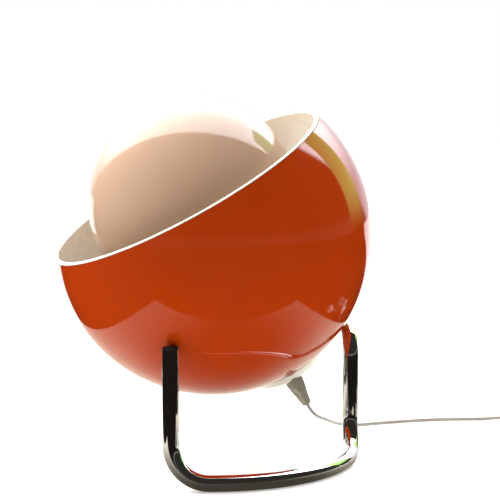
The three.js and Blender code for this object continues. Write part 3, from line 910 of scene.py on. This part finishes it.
def coil_path():
    """Wound clockwise as seen from above: layer on layer, then once round outside and down to the table.
    Numbers are in millimetres."""
    radii = [16.7, 20.1, 23.5]
    levels = [1.8, 5.25, 8.7, 12.15]
    order = ((1, 0), (0, 0), (0, 1), (1, 1), (2, 1), (2, 2), (1, 2), (0, 2), (0, 3))
    turns = [(radii[column], levels[row]) for column, row in order]
    crossing = 6.6
    outward = 3.7
    steps = 28
    points = []
    for k in range(round((len(turns) + 1.25) * steps) + 1):
        turn = k / steps
        index = min(int(turn), len(turns) - 1)
        r, z = turns[index]
        if index + 1 < len(turns):
            move = ease(turn - index, 0.8, 1)
            r += (turns[index + 1][0] - r) * move
            z += (turns[index + 1][1] - z) * move
        if turn < 0.25:
            r = radii[2] + (radii[1] - radii[2]) * ease(turn, 0, 0.25)
        final = turn - len(turns)
        if final > -0.2:
            r = radii[0] + (radii[2] - radii[0]) * ease(final, -0.2, 0.35)
            r += outward * (ease(final, 0.55, 0.75) - ease(final, 1.03, 1.25))
            z = levels[3] + (crossing - levels[3]) * ease(final, 0.72, 1)
            z += (levels[0] - crossing) * ease(final, 1, 1.24)
        angle = -tau * turn
        points.append(Vector((COIL.x / MM + r * cos(angle), COIL.y / MM + r * sin(angle), z)) * MM)
    return points


def make_cords():
    front = [CORD_EXIT, *DROP_POINTS, *RUN_POINTS, RUN_POINTS[-1] + Vector((INSIDE_SWITCH, 0, 0))]
    path = spread(spline(front, 16), 2.5 * MM)
    cord = swept("cord_to_switch", path, CORD_R, 20, sharp=60)
    dress(cord, "cord_sheath")
    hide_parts("cord_drop", "cord_run")
    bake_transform(cord)
    back = [LINK_POINTS[0] - Vector((INSIDE_SWITCH, 0, 0)), *LINK_POINTS, *coil_path()[1:], *TAIL_POINTS]
    path = spread(spline(back, 6), 2.0 * MM)
    cord = swept("cord_to_plug", path, CORD_R, 20, sharp=60)
    place_piece(cord, "stand", "cord_link", "cord_coil", "cord_tail")


def rectangle(half_width, half_height, fillet, steps=5):
    return filleted([(x * half_width, y * half_height, fillet) for x, y in SQUARE], steps)


def switch_bodies():
    """Two moulded halves with rounded edges, a window for the rocker and a collar for each cord."""
    length = SWITCH_HIGH.x - SWITCH_LOW.x
    width = SWITCH_HIGH.y - SWITCH_LOW.y
    wall = 2 * MM
    place = Matrix.Translation((SWITCH.x, SWITCH.y, 0))

    def oval(inset, z):
        """Level layer with round ends, shrunk by the inset."""
        radius = width / 2 - inset
        outline = []
        for side, first in ((1, -90), (-1, 90)):
            for k in range(13):
                angle = radians(first + 15 * k)
                x = side * (length - width) / 2 + radius * cos(angle)
                outline.append((x, radius * sin(angle)))
        return outline, z

    split = SWITCH_HIGH.z
    base = layered("switch_lower", [
        oval(1.6 * MM, 0), oval(0.5 * MM, 0.35 * MM), oval(0, 1.6 * MM), oval(0, split - 0.4 * MM),
        oval(0.3 * MM, split), oval(wall, split), oval(wall, wall)], place)
    ring = [(1.8, -2.2), (3.9, -2.2)]
    for k in range(3):
        z = 0.2 + 1.5 * k
        r = 3.7 - 0.45 * k
        ring += [(r, z, 0.2), (r, z + 0.8, 0.2), (r - 0.6, z + 0.95), (r - 0.6, z + 1.4)]
    ring += [(2.5, 5, 0.2), (1.8, 5)]
    entries = [Matrix.Translation((SWITCH.x + side * length / 2, SWITCH.y, ENTRY_Z * MM))
               @ Matrix.Rotation(side * pi / 2, 4, "Y") for side in (-1, 1)]
    cut_away(base, *(drill(at, 1.85, 5) for at in entries))
    collars = [turned("collar", filleted(from_mm(ring)), at, 32) for at in entries]
    place_piece(joined(base, *collars), "stand", "switch_base")
    top = COVER_HIGH.z
    low = COVER_LOW.z
    crown = 2.6 * MM
    dome = [oval(crown * (1 - sin(a)), top - crown * (1 - cos(a)))
            for a in (pi / 2 * (1 - k / 6) for k in range(7))]
    cover = layered("switch_upper", [
        oval(wall, top - wall), oval(wall, low), oval(0.3 * MM, low), oval(0, low + 0.4 * MM), *dome], place)
    opening = rectangle(13 * MM, 6.5 * MM, 1.2 * MM)
    window = layered("window", [(opening, top - 4 * MM), (opening, top + 2 * MM)], place)
    place_piece(cut_away(cover, window), "stand", "switch_cover")


def rocker_key():
    """Rocker with a hollowed top on each side of its crest."""
    low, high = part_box("switch_rocker")
    half = (high.y - low.y) / 2
    outline = [(-11, 10.5), (-11, 20.2), (-9.5, 19.4), (-7, 18.55), (-4, 17.9), (0, 17.2), (4, 16.95),
               (7, 16.9), (9.5, 17), (11, 17.2), (11, 10.5)]
    vertices = [(SWITCH.x + x * MM, SWITCH.y + side, z * MM) for side in (-half, half) for x, z in outline]
    count = len(outline)
    faces = [list(range(count)), list(range(2 * count - 1, count - 1, -1))]
    faces += [[k, (k + 1) % count, count + (k + 1) % count, count + k] for k in range(count)]
    pivot = Matrix.Translation((SWITCH.x, SWITCH.y, JOINTS["rocker_press"]["pos_m"][2])) @ Z_TO_FRONT
    key = cut_away(piece("rocker_key", vertices, faces), drill(pivot, 1.3, 10))
    place_piece(softened(key, 0.35 * MM), "rocker", "switch_rocker")


def coil_tie():
    """Soft strap once around the bundle."""
    low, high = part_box("coil_tie")
    wide = (high.x - low.x - 1.6 * MM) / 2
    tall = (high.z - low.z - 1.2 * MM) / 2
    half = (high.y - low.y) / 2
    strap = 0.45 * MM
    outer, inner = (rectangle(wide + grow, tall + grow, 3.5 * MM, 8) for grow in (strap, -strap))
    place = Matrix.Translation((low + high) / 2) @ Z_TO_FRONT
    band = layered("tie_band", [(outer, -half), (outer, half), (inner, half), (inner, -half)], place)
    work = bmesh.new()
    work.from_mesh(band.data)
    caps = [face for face in work.faces if len(face.verts) > 4]
    bmesh.ops.delete(work, geom=caps, context="FACES_ONLY")
    bmesh.ops.bridge_loops(work, edges=[edge for edge in work.edges if edge.is_boundary])
    bmesh.ops.recalc_face_normals(work, faces=work.faces)
    work.to_mesh(band.data)
    work.free()
    place_piece(softened(band, 0.2 * MM, 2), "stand", "coil_tie")


def plug_outline(inset):
    """Outline of the plug's moulding as seen from above, shrunk towards its middle by an inset."""
    corners = [(-4, 14), (-13, 6), (-13, -13), (-10, -16), (10, -16), (13, -13), (13, 6), (4, 14)]
    centre = Vector((0, -2 * MM))
    outline = []
    for point in filleted(from_mm([(x, y, 2.4) for x, y in corners])):
        out = Vector(point) - centre
        outline.append(tuple(centre + out * (1 - inset / max(abs(out.x), abs(out.y)))))
    return outline


def plug_parts():
    """Moulded plug with a grooved grip, ribbed cord guard and two round pins in half sleeves."""
    tall = 13 * MM
    edge = 2.2 * MM
    groove = 0.35 * MM
    rounding = [(edge * (1 - sin(a)), edge * (1 - cos(a)))
                for a in (pi / 2 * k / 5 for k in range(6))]
    layers = [(plug_outline(inset), z) for inset, z in rounding]
    for k in range(3):
        z = (4.4 + 1.6 * k) * MM
        layers += [(plug_outline(inset), z + up * MM)
                   for inset, up in ((0, 0), (groove, 0.25), (groove, 0.6), (0, 0.85))]
    layers += [(plug_outline(inset), tall - z) for inset, z in reversed(rounding)]
    body = layered("plug_moulding", layers, Matrix.Translation(PLUG_AT), sharp=30)
    guard = [(0, -6), (4.2, -6)]
    for k in range(6):
        z = -0.5 + 2.1 * k
        r = 4.1 - 0.24 * k
        guard += [(r, z, 0.25), (r, z + 1.3, 0.25), (r - 0.7, z + 1.45), (r - 0.7, z + 2)]
    guard = filleted(from_mm([*guard, (2.2, 13.6, 0.3), (0, 13.6)]))
    at = Matrix.Translation(PLUG_AT + Vector((0, 14 * MM, 6 * MM))) @ Z_TO_FRONT.inverted()
    place_piece(joined(body, turned("guard", guard, at, 36, False)), "stand", "plug_body")
    for letter, number in (("a", 1), ("b", 2)):
        low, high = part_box(f"plug_pin_{number}")
        centre = (low + high) / 2
        root = Matrix.Translation((centre.x, high.y, centre.z)) @ Z_TO_FRONT
        crown = high.y - low.y - 1.6 * MM
        pin = from_mm([(0, 0), (1.7, 0), (1.7, 9.6), (2, 9.9)])
        pin += [(2 * MM * cos(a), crown + 1.6 * MM * sin(a))
                for a in (pi / 12 * k for k in range(7))]
        pin[-1] = (0, high.y - low.y)
        lathe(f"plug_pin_{letter}", f"plug_pin_{number}", pin, 32, "stand", place=root, closed=False)
        sleeve = filleted(from_mm([(1.75, 0), (2, 0), (2, 9.6, 0.15), (1.75, 9.6)]))
        place_piece(turned(f"plug_sleeve_{letter}", sleeve, root, 32), "stand", slot="black_plastic")


switch_bodies()
rocker_key()
coil_tie()
plug_parts()
make_cords()
dress_nodes("rocker_pin", "switch_contact_in", "switch_contact_out")


# ---------- floor, light and view ----------
FLOOR_HALF = 6.0
FLOOR_CORNERS = [(x * FLOOR_HALF, y * FLOOR_HALF) for x, y in SQUARE]
# the pale table ends at these corners; what the lamp mirrors past them is a dark room
TABLE_CORNERS = [(-0.212, -0.284), (0.304, -0.185), (0.249, 0.469), (-0.284, 0.37)]
CARD_HEIGHT = 0.05 * MM


def stage_mesh(name, vertices, faces, material, seen=True):
    """Part of the stage. One that isn't seen shows in reflections only, and gives no light or shade."""
    mesh = bpy.data.meshes.new(name)
    mesh.from_pydata(vertices, [], faces)
    mesh.materials.append(material)
    obj = new_object(name, mesh)
    if not seen:
        for ray in ("camera", "diffuse", "shadow", "transmission"):
            setattr(obj, f"visible_{ray}", False)


def glowing(name, near, far=None, centre=(0, 0, 0), reach=(0, 1), stretch=(1, 1, 1)):
    """Plain light of one colour, or one that goes from near to far with the distance from a centre."""
    glow = Principled(name, Base_Color=(0, 0, 0), Specular_IOR_Level=0, Emission_Strength=1,
                      Emission_Color=near)
    if far:
        away = glow.vector("MULTIPLY", glow.vector("SUBTRACT", glow.place, centre), stretch)
        share = glow.ranged(glow.vector("LENGTH", away), *reach)
        glow.feed(glow.shader.inputs["Emission Color"], glow.blend(share, near, far))
    return glow.material


def make_floor():
    paper = Finish("pale_floor", (0.92, 0.92, 0.92), (0.9, 0.9, 0.9), (0.55, 0.65), 2,
                   Specular_IOR_Level=0, Emission_Color=(1, 1, 1), Emission_Strength=0.4)
    square = [(x, y, 0) for x, y in FLOOR_CORNERS]
    stage_mesh("floor", square, [(0, 1, 2, 3)], paper.grain(300, 0.01).done())


def make_mirrored_table():
    """The table and the dark room around it, as the glossy parts mirror them."""
    vertices = [(x, y, CARD_HEIGHT) for x, y in FLOOR_CORNERS + TABLE_CORNERS]
    dark = glowing("dark_room", (0.012, 0.01, 0.008))
    stage_mesh("dark_room", vertices, [(0, 1, 5, 4), (1, 2, 6, 5), (3, 0, 4, 7)], dark, seen=False)
    # the ball shades the table in front of it and tints it
    pale = glowing("pale_table", (0.07, 0.062, 0.045), (1.1, 1.0, 0.82), (0.05, -0.15, 0), (0.05, 0.3))
    stage_mesh("pale_table", vertices[4:], [(0, 1, 2, 3)], pale, seen=False)


def make_warm_window():
    """Tall yellow window at the right, behind the lamp. It fades towards the table."""
    turn = radians(33)
    away = 1.3
    half = 0.24
    high = 1.5
    at = Vector((cos(turn), sin(turn), 0)) * away
    side = Vector((-sin(turn), cos(turn), 0)) * half
    vertices = [at + side * x + UP * z for x, z in ((-1, 0), (1, 0), (1, high), (-1, high))]
    fade = (high - 0.55, high - 0.16)
    glow = glowing("warm_window", (0.95, 1.75, 0.42), (0, 0, 0), (0, 0, high), fade, (0, 0, 1))
    stage_mesh("warm_window", vertices, [(0, 1, 2, 3)], glow, seen=False)


def make_light(kind, name, at, aim, power, **settings):
    """Light that shines on the lamp and isn't mirrored in it."""
    data = bpy.data.lights.new(name, kind)
    data.energy = power
    for key, value in settings.items():
        setattr(data, key, value)
    light = new_object(name, data)
    light.location = at
    light.rotation_euler = (Vector(aim) - Vector(at)).to_track_quat("-Z", "Y").to_euler()
    light.visible_glossy = False


def make_world():
    """Studio sky: plain white to the camera, soft light from above and behind, and a dim room in mirrors."""
    world = bpy.data.worlds.new("studio")
    world.use_nodes = True
    sky = Nodes(world.node_tree)
    sky.tree.nodes.clear()
    where = sky.node("TexCoord").outputs["Generated"]

    def ramp_along(back, up, low, high):
        """0 to 1 between two values of back * y + up * z."""
        return sky.ranged(sky.vector("DOT_PRODUCT", where, (0, back, up)), low, high)

    def background(color):
        return sky.fed("Background", {"Color": color}).outputs[0]

    def choose(share, a, b):
        return sky.fed("MixShader", {0: share, 1: a, 2: b}).outputs[0]

    light = background(sky.blend(ramp_along(0.7, 0.75, 0.0, 0.95), (0.24, 0.18, 0.12), (2.9, 2.9, 2.9)))
    windows = sky.blend(ramp_along(0, 1, 0.12, 0.6), (1.1, 1.15, 1.2), (6.5, 6.6, 6.8))
    room_wall = sky.blend(ramp_along(0, 1, 0.03, 0.12), (0.15, 0.15, 0.13), (0.03, 0.027, 0.022))
    mirrored = background(sky.blend(ramp_along(1.0, 0.9, 0.78, 0.86), room_wall, windows))
    seen = sky.node("LightPath").outputs
    room = choose(seen["Is Glossy Ray"], light, mirrored)
    view = choose(seen["Is Camera Ray"], room, background((1, 1, 1)))
    sky.fed("OutputWorld", {"Surface": view})
    bpy.context.scene.world = world


make_floor()
make_mirrored_table()
make_warm_window()
make_world()
make_light("AREA", "left_window", (-0.95, 0.15, 0.95), (0.1, 0, 0.27), 8, shape="RECTANGLE", size=0.6,
           size_y=0.6)
# narrow light over the globe into the far side of the bowl
make_light("SPOT", "bowl_spot", (-0.9, -0.16, 0.64), (0.1, 0.03, 0.3), 45, spot_size=radians(13),
           spot_blend=0.7, shadow_soft_size=0.05)
bpy.context.scene.view_settings.view_transform = "Standard"
